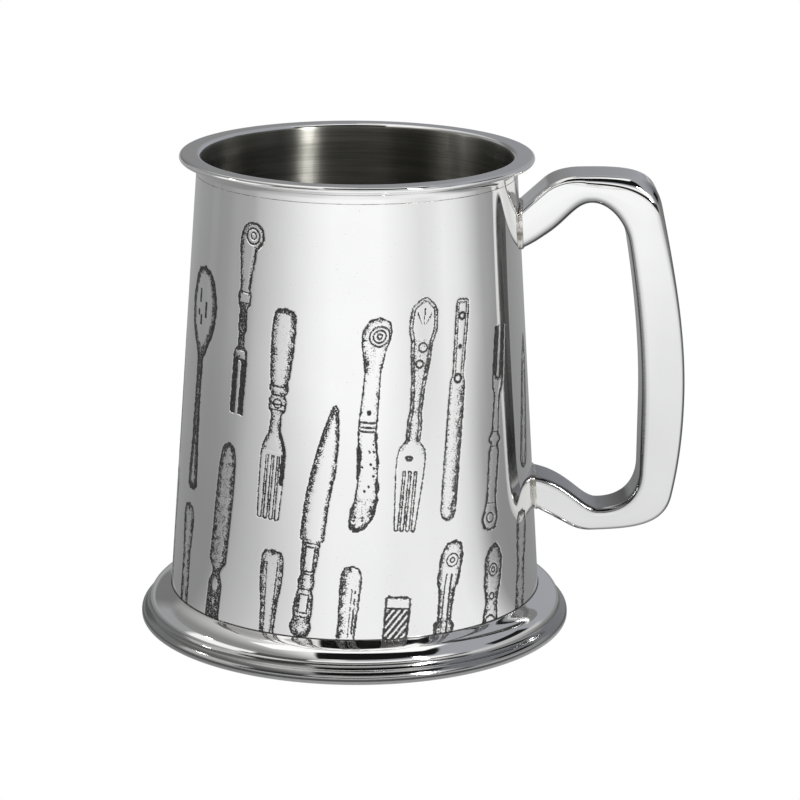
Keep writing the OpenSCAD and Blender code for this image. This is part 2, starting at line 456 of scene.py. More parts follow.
cove = steered([
    (WALL_TOP_R, RIM_Z0 + COLLAR_H),
    (WALL_TOP_R + 0.12 * LIP_OUT, HEIGHT - 0.5 * (HEIGHT - WALL_Z1 - COLLAR_H)),
    (WALL_TOP_R + 0.4 * LIP_OUT, HEIGHT - 2.1 * BEAD_R),
    (LIP_R - BEAD_R, HEIGHT - 2 * BEAD_R),
], 24)
bead = arc((LIP_R - BEAD_R, HEIGHT - BEAD_R), BEAD_R, -80, 90, 20)
lip_top = straight((LIP_R - BEAD_R, HEIGHT), (WALL_TOP_R, HEIGHT), 8)
mouth = arc((WALL_TOP_R, HEIGHT - SHEET_T), SHEET_T, 90, 180, 12)
rim_line = outline(
    straight((MOUTH_R, RIM_Z0), (WALL_TOP_R, RIM_Z0), 2),
    straight((WALL_TOP_R, RIM_Z0), (WALL_TOP_R, RIM_Z0 + COLLAR_H), 4),
    cove, bead, lip_top, mouth,
    straight((MOUTH_R, HEIGHT - SHEET_T), (MOUTH_R, RIM_Z0 + 0.2 * MM), 6),
)


def brush_inside(piece):
    """Gives the satin finish to every face whose middle lies nearer the axis than the mouth's skin."""
    middles = np.zeros(len(piece.data.polygons) * 3, np.float32)
    piece.data.polygons.foreach_get("center", middles)
    inside = np.hypot(middles[0::3], middles[1::3]) < BRUSHED_WITHIN_R
    piece.data.materials.append(SATIN)
    piece.data.polygons.foreach_set("material_index", inside.astype(np.int32))


rim = turned("rim_ring_fine", rim_line)
fit(rim, POLISHED, "polished_pewter", "rim_ring")
brush_inside(rim)

# %% [markdown]
# ## The foot
# The foot is one hollow spinning: a dome that carries the wall, a neck, a bulge that rolls over, and
# the corner that stands on the table. Its underside follows its outside one sheet's thickness in, and
# a short spigot stands up inside the wall to centre it. A list of heights in millimetres gives the
# painted shade at each: the low corner and the bulge are painted darker, as painted dark
# reflections and shade.

# %% Foot, from its seat down to the table and back up inside
FOOT_T = 1.5 * MM
CORNER_R = 1.2 * MM
BULGE_R = 2.0 * MM
EDGE_H = 3.6 * MM
SPREAD = FOOT_R - WALL_FOOT_R - 0.014 * MM
# painted shade by height in mm: the corner on the table and the bulge are darkened as painted dark
# reflections
PAINTED_SHADE_AT = ((0, 0.72), (1.4, 0.72), (2.1, 0.6), (4.5, 0.6), (5.3, 0.0))

neck = np.array([FOOT_R - 2.2 * MM, EDGE_H + 1.6 * MM])
bulge = arc((FOOT_R - BULGE_R, EDGE_H - BULGE_R), BULGE_R, 70, 0, 22)
dome = steered([
    (WALL_FOOT_R + 0.25 * MM, FOOT_H),
    (WALL_FOOT_R + 0.2 * SPREAD, FOOT_H - 0.7 * MM),
    (WALL_FOOT_R + 0.6 * SPREAD, FOOT_H - 1.3 * MM),
    neck,
], 30)
throat = steered([neck, neck + (0.15 * MM, -0.7 * MM), bulge[0] + (-0.7 * MM, 0.45 * MM), bulge[0]], 14)
corner = arc((FOOT_R - CORNER_R, CORNER_R), CORNER_R, 0, -90, 12)
roof_z = FOOT_H - FOOT_T
side_r = FOOT_R - FOOT_T - 0.9 * MM
inner_r = WALL_FOOT_R - SHEET_T - FOOT_T
hollow = steered([
    (side_r, CORNER_R), (side_r, roof_z - CORNER_R), (WALL_FOOT_R, roof_z), (inner_r, roof_z),
], 20)
spigot_r, seat_r = (wall_radius(z) - SHEET_T - SLIP for z in (SPIGOT_Z, FOOT_H))
foot_line = outline(
    dome, throat, bulge, corner,
    straight((FOOT_R - CORNER_R, 0), (FOOT_R - CORNER_R - FOOT_T, 0), 2),
    hollow,
    straight((inner_r, roof_z), (inner_r, SPIGOT_Z), 4),
    straight((inner_r, SPIGOT_Z), (spigot_r, SPIGOT_Z), 2),
    straight((spigot_r, SPIGOT_Z), (seat_r, FOOT_H), 2),
    (WALL_FOOT_R - 0.3 * MM, FOOT_H),
)[::-1]
foot = turned("foot_ring_fine", foot_line, TURNED_STEPS)
foot_heights = np.repeat(foot_line[:, 1], TURNED_STEPS) / MM
paint_points(foot, "dull", np.interp(foot_heights, *zip(*PAINTED_SHADE_AT)))
fit(foot, POLISHED, "polished_pewter", "foot_ring")

# %% [markdown]
# ## Bottom disc and the thin lines of solder
# A flat disc closes the cup just above the foot, with a fillet of solder round its inside corner.
# Where the wall meets the rim and the foot, the solder shows only as a hair line. Each one is a
# small turned ring of its own.


# %% Disc, fillet and solder rings
SUNK = 0.06 * MM


def box_line(r0, r1, z0, z1, steps=3):
    """A rectangle as a closed outline, run anticlockwise from its lower inner corner."""
    return outline(
        straight((r0, z0), (r1, z0), steps), straight((r1, z0), (r1, z1), steps),
        straight((r1, z1), (r0, z1), steps), straight((r0, z1), (r0, z0), steps))


def disc(name, radius_low, radius_high, z0, z1, rings=40, steps=256):
    """A round plate: rings of points from a tiny centre ring out, over the edge and back."""
    share = np.linspace(0.0005, 1.0, rings)
    r = np.concatenate([share * radius_low, share[::-1] * radius_high])
    z = np.concatenate([np.full(rings, z0), np.full(rings, z1)])
    a = np.linspace(0.0, 2 * np.pi, steps, endpoint=False)
    points = np.stack([np.outer(r, np.cos(a)), np.outer(r, np.sin(a)), np.outer(z, np.ones(steps))], -1)
    last = (2 * rings - 1) * steps
    caps = (np.arange(steps)[::-1], last + np.arange(steps))
    quads = grid_faces(2 * rings, steps, False, True)[:, ::-1][:, [1, 2, 3, 0]]
    return make_mesh(name, points.reshape(-1, 3), quads, caps)


inside_r = wall_radius(DISC_Z1) - SHEET_T
bottom = disc("bottom_disc_fine", DISC_R, inside_r - SLIP, DISC_Z0, DISC_Z1)
fit(bottom, SATIN, "satin_pewter", "bottom_disc")

fillet_top_r = wall_radius(FILLET_Z1) - SHEET_T
fillet_line = outline(
    (inside_r, DISC_Z1), (fillet_top_r, FILLET_Z1),
    arc((fillet_top_r - FILLET, FILLET_Z1), FILLET, -4, -84, 12),
)
fit(turned("bottom_solder_fine", fillet_line, 256), SOLDER, "soft_solder", "bottom_solder")
rim_solder = turned("rim_solder_fine", box_line(MOUTH_R, WALL_TOP_R - SUNK, WALL_Z1, RIM_Z0))
fit(rim_solder, SOLDER, "soft_solder", "rim_solder")
brush_inside(rim_solder)
fit(turned("foot_solder_fine", box_line(WALL_FOOT_R - SHEET_T, FOOT_SOLDER_R, FOOT_H, WALL_Z0)),
    DARK_SOLDER, "soft_solder", "foot_solder")

# %% [markdown]
# ## Drawing cutlery with distances
# An etcher draws on the flat sheet, so we do too, in millimetres: x across a piece of cutlery and y
# along it. Each piece is a blank whose half width follows a few chosen stations. How far a point lies
# from the blank's edge gives the outline, and a tone that deepens towards the edge gives the shading.
# It is all arithmetic on arrays, so the lines come out as crisp as the mesh is fine.

# %% Lines, dots and blanks
SOFT = 0.2
FULL_LINE = 0.97
DARKEST_TONE = 0.8
GRAIN = np.random.default_rng(7).random((4, 128, 128))


def through(stations, y):
    """A smooth curve through (height, value) stations that never swings past them."""
    h, v = np.asarray(stations, float).T
    chord = np.diff(v) / np.diff(h)
    before, after = chord[:-1], chord[1:]
    mean = 2 * before * after / np.where(before + after == 0, 1, before + after)
    slope = np.concatenate([chord[:1], np.where(before * after > 0, mean, 0), chord[-1:]])
    k = np.clip(np.searchsorted(h, y) - 1, 0, len(h) - 2)
    span = h[k + 1] - h[k]
    t = np.clip((y - h[k]) / span, 0.0, 1.0)
    rise = t * t * (3 - 2 * t)
    start, stop = t * (1 - t) ** 2 * span * slope[k], t * t * (t - 1) * span * slope[k + 1]
    return v[k] * (1 - rise) + v[k + 1] * rise + start + stop


def grain(layer, x, y, pitch):
    """Even random numbers on a square grid, blended smoothly between its corners."""
    u, w = x / pitch, y / pitch
    i, j = np.floor(u).astype(int), np.floor(w).astype(int)
    a, b = u - i, w - j
    table = GRAIN[layer]
    low = table[i % 128, j % 128] * (1 - a) + table[(i + 1) % 128, j % 128] * a
    high = table[i % 128, (j + 1) % 128] * (1 - a) + table[(i + 1) % 128, (j + 1) % 128] * a
    return low * (1 - b) + high * b


def line(distance, half=0.2):
    """Ink where a distance is near nought, with a soft edge about one grid step wide."""
    return np.clip((half - np.abs(distance)) / SOFT + 0.5, 0.0, 1.0)


def within(distance):
    """One inside a shape and nought outside it."""
    return np.clip(-distance / SOFT + 0.5, 0.0, 1.0)


def dots(x, y, density, pitch=0.5):
    """Stipple: one ragged dot per cell of a square grid, there where its draw is under the density."""
    i, j = np.floor(x / pitch).astype(int) % 128, np.floor(y / pitch).astype(int) % 128
    u = x / pitch % 1.0 - 0.3 - 0.4 * GRAIN[0][i, j]
    w = y / pitch % 1.0 - 0.3 - 0.4 * GRAIN[1][i, j]
    near = np.clip((0.36 - np.hypot(u, w)) / 0.25 + 0.5, 0.0, 1.0)
    return near * (GRAIN[2][i, j] < density)


def blank(x, y, stations):
    """Distance from a blank's edge, less than nought inside: (|x| - half width) square to the edge."""
    half = through(stations, y)
    slope = (through(stations, y + 0.1) - through(stations, y - 0.1)) / 0.2
    side = (np.abs(x) - half) / np.sqrt(1 + slope**2)
    return np.maximum(side, np.maximum(stations[0][0] - y, y - stations[-1][0]))


def ring(x, y, centre, radius):
    """Distance from a circle."""
    return np.hypot(x - centre[0], y - centre[1]) - radius


def inked(x, y, d, band=1.1, depth=0.8, edge=0.21, floor=0.0):
    """An outline whose weight wanders, and a tone that deepens within a band of the edge."""
    wander = edge * (0.5 + grain(3, x, y, 0.6))
    patchy = 0.5 + grain(2, x, y, 0.8)
    tone = (0.8 * depth * np.clip(1 + d / (1.25 * band), 0, 1) + floor) * patchy
    return np.maximum(FULL_LINE * line(d, wander), np.clip(tone, 0, DARKEST_TONE) * within(d))


def circles(x, y, middles, half=0.2):
    """Round lines: (x, y, radius) for each one."""
    marks = [line(ring(x, y, (u, v), radius), half) for u, v, radius in middles]
    return np.maximum.reduce(marks)


def cross_lines(y, heights, d, half=0.16):
    """Lines across a piece at a few heights, kept inside it."""
    marks = [line(y - h, half) for h in heights]
    return np.maximum.reduce(marks) * within(d)


def tines(x, y, d, count, half, root, slot=0.3):
    """Cuts evenly spaced slots out of a fork's head up to its root, and rounds off the tips."""
    pitch = 2 * half / count
    for k in range(1, count):
        cut = np.maximum(np.abs(x + half - k * pitch) - slot, y - root - 0.2 * pitch)
        d = np.maximum(d, -cut)
    middle = (x + half) % pitch - pitch / 2
    tip = 0.5 * pitch - 0.12 - np.hypot(middle, np.minimum(y - 0.5 * pitch, 0))
    return np.where(y < 0.5 * pitch, np.maximum(d, -tip), d)


# %% [markdown]
# ## The cutlery
# Each function below draws one generic piece from a canteen of old table cutlery: a spoon, forks with
# two and four tines, and knives and handles that are plain, riveted, scrolled or twisted. A body is a
# list of (height, half width), and y runs from the lower end to the upper end. A function returns how
# much of the sheet is bitten at each point: the deepest of its outline, its shading and its marks.


# %% Spoons and forks
def spoon(x, y):
    """A long stem and an egg-shaped bowl, with a few short strokes of shine in the bowl."""
    body = [
        (3, 1.2), (4, 2.2), (8, 2.0), (19, 1.3), (31, 1.1), (36, 1.3),
        (39, 2.8), (44, 5.4), (49.6, 6.3), (55, 5.0), (58, 2.6), (58.8, 0.2),
    ]
    d = blank(x, y, body)
    bowl = y > 37
    strokes = ((-1.8, 51.5, 1.7), (1.5, 48.6, 2.0), (-0.9, 45.6, 1.3), (-2.4, 47.2, 0.8))
    shine = [line(x - u, 0.52) * (np.abs(y - v) < half) for u, v, half in strokes]
    shade = inked(x, y, d, 1.3 + 0.6 * bowl, 1.9, 0.5, floor=0.42 * (y < 40))
    return np.maximum(shade, np.maximum.reduce(shine) * (0.7 + grain(2, x, y, 1.2)))


def carving_fork(x, y):
    """Two long tines on a ribbed shaft, and a handle that ends in a scroll."""
    body = [
        (0, 1.9), (13.2, 2.0), (15, 1.9), (16.6, 0.85), (19, 0.75), (21, 1.1),
        (25.5, 1.0), (27, 1.7), (29.4, 1.8), (30.4, 1.4), (42, 2.5), (44, 2.2),
    ]
    d = np.minimum(blank(x, y, body), ring(x, y, (1.1, 43.7), 3.2))
    d = np.maximum(d, -np.maximum(np.abs(x) - 0.75, y - 13.2))
    prong = within(d) * (y < 13.4)
    shaft = 0.78 * within(d) * (y > 15.4) * (y < 27)
    scroll = np.maximum(circles(x, y, [(1.3, 43.8, 0.8)]), circles(x, y, [(1.2, 43.7, 1.9)], 0.26))
    ribs = cross_lines(y, (16, 19, 22.5, 27.2, 29.8), d)
    shade = inked(x, y, d, 0.9 + 0.5 * (x < 0), 1.1, 0.32)
    return np.maximum.reduce([shade, prong, shaft, ribs, scroll * within(d)])


def table_fork(x, y):
    """Four tines, a turned collar and a plain handle, shaded more heavily down one side."""
    body = [
        (0, 2.9), (9, 3.2), (16, 3.3), (19, 2.7), (22, 1.5), (26, 1.3), (27.6, 2.1), (29.5, 2.2),
        (31, 1.7), (32.2, 2.4), (34, 2.2), (36, 2.5), (46, 3.0), (50, 2.8), (51.6, 1.8), (52, 0.3),
    ]
    d = tines(x, y, blank(x, y, body), 4, 3.1, 15.5)
    bands = cross_lines(y, (27.2, 28.6, 30.8, 33), d, 0.22)
    collar = np.maximum(bands, circles(x, y, [(0, 28.8, 1.1)]))
    heavy_side = line(d + 0.4, 0.35) * (x > 2.2 - 1.2 * (y > 17)) * (y > 9) * (y < 26)
    shade = inked(x, y, d, 1.5, 0.95 * (y > 17), 0.2 + 0.05 * (y > 17), 0.16 * (y > 30))
    return np.maximum.reduce([shade, collar * within(d), heavy_side])


def shell_fork(x, y):
    """Four tines, a bordered stem with two curls, and a ribbed shell at the top."""
    body = [
        (0, 2.5), (9, 3.2), (17, 3.6), (20, 3.3), (22.4, 1.8), (27, 1.8), (29, 1.5),
        (36, 1.8), (43, 2.6), (46, 2.8), (50, 3.6), (54, 3.3), (56, 1.8), (57, 0.4),
    ]
    d = tines(x, y, blank(x, y, body), 4, 2.9, 14.5)
    fan = np.abs(np.sin(7 * np.arctan2(x, y - 49.5))) < 0.4
    shell = fan * within(ring(x, y, (0, 52.4), 2.1)) * 0.95
    border = line(d + 0.8, 0.17) * (y > 22)
    curl = circles(x, y, [(0.3, 45, 1.1), (-0.2, 41, 0.9)], 0.25)
    mark = line(np.hypot((x + 0.6) / 1.6, y - 18) - 0.4, 0.3)
    shade = inked(x, y, d, 1.3, 0.75 * (y > 19), 0.2, 0.26 * (y > 22) * (y < 47))
    return np.maximum.reduce([shade, shell, border, (curl + mark).clip(0, 1) * within(d)])


def toasting_fork(x, y):
    """Two short tines upwards, a thin turned stem and a knob with an eye at its foot."""
    body = [
        (0, 0.4), (0.7, 1.9), (3, 2.6), (5.5, 2.0), (8, 1.6), (19, 1.8), (21, 1.2),
        (22.4, 2.1), (24, 1.3), (33, 1.0), (35.5, 1.9), (38, 2.1), (50, 1.9),
    ]
    d = blank(x, y, body)
    d = np.maximum(d, -np.maximum(np.abs(x) - 0.8, 37.5 - y))
    bands = cross_lines(y, (6.6, 20.6, 24.2), d)
    knob = np.maximum(circles(x, y, [(0, 3.0, 1.2)], 0.25), bands)
    prong = within(d) * (y > 38)
    return np.maximum.reduce([inked(x, y, d, 1.0, 1.0, 0.36), knob * within(d), prong])


# %% Knives
def dinner_knife(x, y):
    """A bowed blade on a turned handle with two long panes."""
    bend = [(0, -1.6), (10, -1.2), (22, -0.7), (32, -0.4), (45, 1.0), (58, 2.1)]
    x = x - through(bend, y)
    body = [
        (0, 0.4), (0.8, 2.0), (2.6, 2.6), (4.6, 2.1), (6, 2.3), (10, 2.1), (12, 1.7), (14, 2.0),
        (15.6, 1.6), (18, 1.9), (24, 2.1), (24.8, 2.9), (40, 2.9), (49, 2.2), (55, 1.2), (57.4, 0.6),
        (58, 0.1),
    ]
    d = blank(x, y, body)
    window = np.minimum(np.abs(y - 8.4) - 2.3, np.abs(y - 19.6) - 3.1)
    pane = np.maximum(np.abs(x) - 1.1, window)
    handle_tone = 0.22 * (y < 24) * (pane > 0) + 0.16 * (y < 5)
    shade = inked(x, y, d, 1.1 + 0.6 * (x < 0), 0.85 + 0.5 * (y > 24), floor=handle_tone)
    return np.maximum.reduce([shade, line(pane), cross_lines(y, (5, 12, 15.8, 23.6), d, 0.2)])


def pistol_knife(x, y):
    """A short worn blade, a ferrule, and a handle that swells into a grip with a spiral."""
    bend = [(0, 0.3), (4, 1.3), (9, 1.9), (16, 1.7), (25, 0.6), (33, 0.6), (44, 0.4), (52, 1.2)]
    x = x - through(bend, y)
    body = [
        (0, 0.4), (1, 1.9), (4, 2.7), (9, 2.5), (24, 2.1), (26, 2.1),
        (38, 1.9), (43, 2.6), (48, 3.4), (51, 2.4), (52, 0.3),
    ]
    d = blank(x, y, body)
    swirl = circles(x, y, [(0.7, 47.6, 0.6), (0.7, 47.6, 1.5), (0.7, 47.6, 2.4)]) * within(d)
    rivet = within(ring(x, y, (0, 29), 0.6))
    ferrule = cross_lines(y, (24.4, 25.4, 26.6), d, 0.2)
    spots = dots(x, y, 0.3 * (y < 24) * (grain(0, x, y, 2.2) > 0.45), 0.95) * within(d)
    chipped = line(d, 0.75 * grain(1, x, y, 1.3)) * (y < 24)
    shade = inked(x, y, d, 1.1, 0.7, floor=0.32 * (y < 8) + 0.25 * (y > 38) * (x < 0.6))
    return np.maximum.reduce([shade, swirl, rivet, ferrule, spots, chipped])


def riveted_knife(x, y):
    """A straight grey blade and two cheeks held by three rivets."""
    x = x + 0.012 * (y - 30)
    body = [
        (0, 0.4), (0.8, 1.5), (3, 2.1), (31, 2.2), (34, 2.1),
        (35.6, 1.6), (52, 1.9), (53.6, 1.7), (54, 1.1),
    ]
    d = blank(x, y, body)
    rivets = circles(x, y, [(0, 50, 0.8), (0, 42.5, 0.3), (0, 34.8, 1.0)], 0.34)
    cheek = line(d + 0.75, 0.15) * (y > 35.5)
    blade = (0.3 + 0.22 * np.clip(x, -1, 1)) * (y < 33)
    return np.maximum.reduce([inked(x, y, d, 1.0, 0.8, floor=blade), rivets, cheek])


def narrow_knife(x, y):
    """A plain dark blade, pointed at the top."""
    d = blank(x, y, [(0, 0.5), (0.9, 1.9), (3, 2.6), (22, 2.3), (30, 1.4), (33.4, 0.2)])
    return inked(x, y, d, 1.6, 0.9, floor=0.42)


def broad_knife(x, y):
    """A broad dark blade with a slight bend, on a waisted neck with a light eye."""
    x = x - through([(0, -1.4), (20, -0.3), (42, 0.5)], y)
    body = [
        (-4, 2.4), (6, 2.3), (9.5, 1.2), (11, 1.9), (12.6, 2.9),
        (30, 2.9), (38, 2.6), (41.6, 1.7), (42.6, 0.3),
    ]
    d = blank(x, y, body)
    eye = 0.5 * within(ring(x / 0.6, y, (0, 6.2), 1.6))
    shade = inked(x, y, d, 1.3, 0.8, floor=0.42 + 0.25 * (y < 10))
    return np.maximum(shade - eye, line(d, 0.25))


# %% Handles that the foot cuts off
def bone_handle(x, y):
    """Widens to a round top, with two facet lines that open upwards."""
    d = blank(x, y, [(0, 1.2), (22, 1.7), (32, 2.2), (40, 3.0), (44, 2.9), (45.6, 2.0), (46, 0.3)])
    facets = np.maximum(line(x - 0.034 * y - 0.1, 0.16), line(x + 0.03 * y + 0.1, 0.16))
    return np.maximum(inked(x, y, d, 1.5, 1.0, floor=0.14), facets * (y < 43) * within(d))


def reed_handle(x, y):
    """A round top and two broken grooves down one side."""
    d = blank(x, y, [(0, 2.0), (30, 2.1), (38, 2.4), (43, 2.5), (45.3, 1.8), (46, 0.3)])
    shade = inked(x, y, d, 0.6 + 1.2 * (x < 0), 1.0, floor=0.12)
    grooves = np.maximum(line(x - 0.5, 0.14), line(x - 1.3, 0.22))
    grooves = grooves * (y < 41) * (grain(1, x, y, 1.1) > 0.35)
    return np.maximum(shade, grooves * within(d))


def square_handle(x, y):
    """A square end with a plain cap over slanting twists."""
    d = blank(x, y, [(0, 2.4), (30, 2.7), (44.6, 3.0), (45.6, 2.9), (46, 2.4)])
    twist = line(np.abs((y - 1.4 * x) / 2.1 % 1.0 - 0.5) - 0.1, 0.22) * (y < 43) * within(d)
    cap = cross_lines(y, (43.2,), d, 0.25)
    return np.maximum.reduce([inked(x, y, d, 0.6, 0.9, 0.34), 0.95 * twist, cap])


def scroll_handle(x, y):
    """Two flutes that end under a curl, with the top bent to one side."""
    x = x - through([(0, 0), (32, 0), (40, 0.5), (46, 1.2)], y)
    body = [
        (0, 2.4), (23, 2.4), (25, 2.6), (26.5, 1.7), (33, 2.0),
        (37, 2.9), (42, 3.0), (45.2, 1.9), (46, 0.3),
    ]
    d = blank(x, y, body)
    flutes = np.maximum(line(x + 0.7), line(x - 0.8, 0.3)) * (y < 38) * within(d)
    curl = circles(x, y, [(0.3, 41.3, 0.6), (0.3, 41.3, 1.6)]) * within(d)
    shade = inked(x, y, d, 1.2, 0.95, 0.34, 0.12 + 0.3 * (y < 27))
    return np.maximum.reduce([shade, flutes, curl])


def shell_handle(x, y):
    """A round top with an eye, a bead under it and a long leaf below."""
    body = [
        (0, 2.0), (12, 2.2), (22, 2.6), (28, 2.4), (31, 2.0),
        (37, 2.9), (42, 3.0), (44.6, 1.9), (46, 0.3),
    ]
    d = blank(x, y, body)
    curl = circles(x, y, [(0, 39.6, 1.5), (0, 39.6, 0.6), (0, 33, 0.8)], 0.24)
    leaf = line(ring(x / 0.6, y, (0, 24), 4.2), 0.3)
    shade = inked(x, y, d, 1.3, 1.0, 0.34, 0.25)
    return np.maximum.reduce([shade, curl * within(d), leaf * within(d)])


def slim_handle(x, y):
    """A plain shaded handle with a round top."""
    d = blank(x, y, [(0, 1.9), (24, 2.1), (33, 2.0), (38, 2.6), (43, 2.9), (45.3, 2.0), (46, 0.3)])
    return inked(x, y, d, 1.5, 0.9, 0.34, 0.3)


# %% [markdown]
# ## Setting out the pattern
# On the flat sheet every piece of cutlery stands parallel to its neighbours. Rolled into a cone, they
# lean a little more the farther round they are. The table gives each one's place round the cup in
# degrees from the front, and the height of its middle. The etched strip repeats round the cup, and
# what would run into the seam is left off. LENGTH is each one's own length in millimetres.

# %% Two rows of cutlery on the sheet
PANELS = 8
PER_PANEL = 168
COLUMNS = PER_PANEL * PANELS
ROWS = 480
HALF_TALL, HALF_WIDE = 33.0, 17.0
SETTING = [
    (spoon, -63.7, 65.5), (carving_fork, -40.5, 85.6), (table_fork, -26, 63.4),
    (dinner_knife, -12, 38), (pistol_knife, 3.2, 62.3), (shell_fork, 19.5, 64),
    (riveted_knife, 34, 64), (toasting_fork, 51.5, 57), (narrow_knife, 74, 60),
    (slim_handle, -84, 17), (slim_handle, -66, 11.7), (broad_knife, -46, 32.8),
    (bone_handle, -27.5, 7), (reed_handle, -3.2, 4.5), (square_handle, 10.5, -3.5),
    (scroll_handle, 27.5, 9), (shell_handle, 45, 5.5), (slim_handle, 62, 10.5),
]
REPEAT = 160.0
COPIES = 3
SEAM_AT = 90.0
CLEAR_OF_SEAM = 6.0
LEAN = 5.3
LEAN_PER_DEGREE = 0.065


def sheet_grid():
    """Height of each row, and degrees from the front of each column, starting at the seam."""
    z = np.linspace(WALL_Z0, WALL_Z1, ROWS + 1)
    turn = SEAM_AT - 360.0 + 360.0 * np.arange(COLUMNS + 1) / COLUMNS
    return z, turn


def etch(sheet, z, turn, draw, at, middle):
    """Draws one piece of cutlery where it covers the sheet: places turned by the lean, in mm."""
    lean = math.radians(LEAN + LEAN_PER_DEGREE * at)
    rows = np.flatnonzero(np.abs(z / MM - middle) < HALF_TALL)
    cols = np.flatnonzero(np.abs(turn - at) < HALF_WIDE)
    if len(rows) == 0 or len(cols) == 0:
        return
    height = z[rows][:, None] / MM
    round_mm = (np.radians(turn[cols])[None, :] - math.radians(at)) * wall_radius(height * MM) / MM
    up_mm = height - middle
    across = round_mm * math.cos(lean) - up_mm * math.sin(lean)
    along = round_mm * math.sin(lean) + up_mm * math.cos(lean) + LENGTH[draw] / 2
    area = np.ix_(rows, cols)
    sheet[area] = np.maximum(sheet[area], draw(across, along))


LENGTH = {
    spoon: 58.8, carving_fork: 47, table_fork: 52, dinner_knife: 58, pistol_knife: 52, shell_fork: 57,
    riveted_knife: 54, toasting_fork: 50, narrow_knife: 33.4, broad_knife: 42.6, bone_handle: 46,
    reed_handle: 46, square_handle: 46, scroll_handle: 46, shell_handle: 46, slim_handle: 46,
}
sheet_z, sheet_turn = sheet_grid()
bite = np.zeros((ROWS + 1, COLUMNS + 1))
for copy in range(COPIES):
    for draw, at, middle in SETTING:
        place = at - copy * REPEAT
        if place > SEAM_AT - 360.0 + CLEAR_OF_SEAM:
            etch(bite, sheet_z, sheet_turn, draw, place, middle)
print(f"etched share of the sheet: {bite.mean():.3f}")

# %% [markdown]
# ## The wall, rolled from the etched sheet
# The wall could be one mesh with a displacement picture, but pictures aren't used here. Each point of
# a fine grid is sunk by its own bite instead. The wall is made as eight panels side by side, so that
# no piece is too heavy. Every panel is a closed loop: up the outside, over the edge, down the inside.

# %% Eight panels of the wall
BITE_DEPTH = 0.07 * MM
INNER_ROWS = 10


def wall_panel(index):
    """Points (r cos a, r sin a, z) for one panel: r is the cone's radius less the bite."""
    cols = np.arange(index * PER_PANEL, (index + 1) * PER_PANEL + 1)
    depth = bite[:, cols]
    outer_z = np.repeat(sheet_z[:, None], len(cols), 1)
    outer_r = wall_radius(outer_z) - BITE_DEPTH * depth
    inner_z = np.repeat(np.linspace(WALL_Z1, WALL_Z0, INNER_ROWS)[:, None], len(cols), 1)
    z = np.concatenate([outer_z, inner_z])
    r = np.concatenate([outer_r, wall_radius(inner_z) - SHEET_T])
    gap = np.arcsin(SEAM_HALF_W / r)
    share = (cols / COLUMNS)[None, :]
    angle = gap + share * (2 * np.pi - 2 * gap)
    points = np.stack([r * np.cos(angle), r * np.sin(angle), z], -1).reshape(-1, 3)
    rows, count = z.shape
    left, right = np.arange(rows) * count, np.arange(rows) * count + count - 1
    quads = grid_faces(rows, count, True, False)
    panel = make_mesh(f"wall_panel_{index + 1}", points, quads[:, ::-1], (left, right[::-1]))
    paint_points(panel, "bite", np.concatenate([depth, np.zeros_like(inner_z)]))
    inside = np.zeros(len(panel.data.polygons), np.int32)
    inside[(ROWS + 1) * (count - 1):(ROWS + INNER_ROWS) * (count - 1)] = 1
    fit(panel, ETCHED, "etched_pewter", "body_wall")
    panel.data.materials.append(SATIN)
    panel.data.polygons.foreach_set("material_index", inside)


for index in range(PANELS):
    wall_panel(index)

# %% [markdown]
# ## The seam
# The two edges of the rolled sheet meet in a butt seam filled with solder, dressed nearly flush. It
# shows as a thin dull line, mostly hidden behind the handle.

# %% Side seam
SEAM_PROUD = 0.02 * MM


def side_seam(across=6, rows=60):
    """A strip as tall as the wall: a shallow crown outside, flat inside."""
    y = np.linspace(-SEAM_HALF_W, SEAM_HALF_W, across + 1)
    y = np.concatenate([y, y[::-1]])
    outer = np.concatenate([np.ones(across + 1), np.zeros(across + 1)])
    crown = SEAM_PROUD * (1 - (y / SEAM_HALF_W) ** 2) * outer - SHEET_T * (1 - outer)
    z = np.linspace(WALL_Z0, WALL_Z1, rows + 1)[:, None]
    r = wall_radius(z) + crown[None, :]
    points = np.stack([np.sqrt(r**2 - y**2), np.broadcast_to(y, r.shape), np.broadcast_to(z, r.shape)], -1)
    count = len(y)
    caps = (np.arange(count)[::-1], rows * count + np.arange(count))
    quads = grid_faces(rows + 1, count, False, True)
    return make_mesh("side_seam_fine", points.reshape(-1, 3), quads, caps)


fit(side_seam(), SOLDER, "soft_solder", "side_seam")

# %% [markdown]
# ## The handle
# The handle is cast hollow in a split mould, then filed and polished. Seen from the side it is a
# soft D: its outer and inner outlines are chains of steered curves, each row below giving one curve's
# two guide points and its end. A rounded rectangle is stretched between the two outlines at every
# station, and the ends are trimmed to the cone of the wall. A bent tube would be quicker, but it would
# keep one width, and this handle is wide at the grip and slim in the arms.

# %% Outlines of the handle, as shares of its stand-out and height
GRIP_W = 10.7 * MM
UPPER_ARM_T = 6.8 * MM
LOWER_ARM_T = 5.9 * MM
DEPTH_TOP = 2 * HANDLE_HALF_D
DEPTH_LOW = 12.6 * MM
EDGE_R = 1.3 * MM
HANDLE_H = HANDLE_TOP - HANDLE_LOW
ROOT_X = wall_radius((HANDLE_TOP + HANDLE_LOW) / 2)
STAND_OUT = HANDLE_REACH - ROOT_X


def at(across, up, dx=0.0, dz=0.0):
    """A point at a share of the stand-out and a share of the height, with a shift from there."""
    return (ROOT_X + across * STAND_OUT + dx, HANDLE_LOW + up * HANDLE_H + dz)


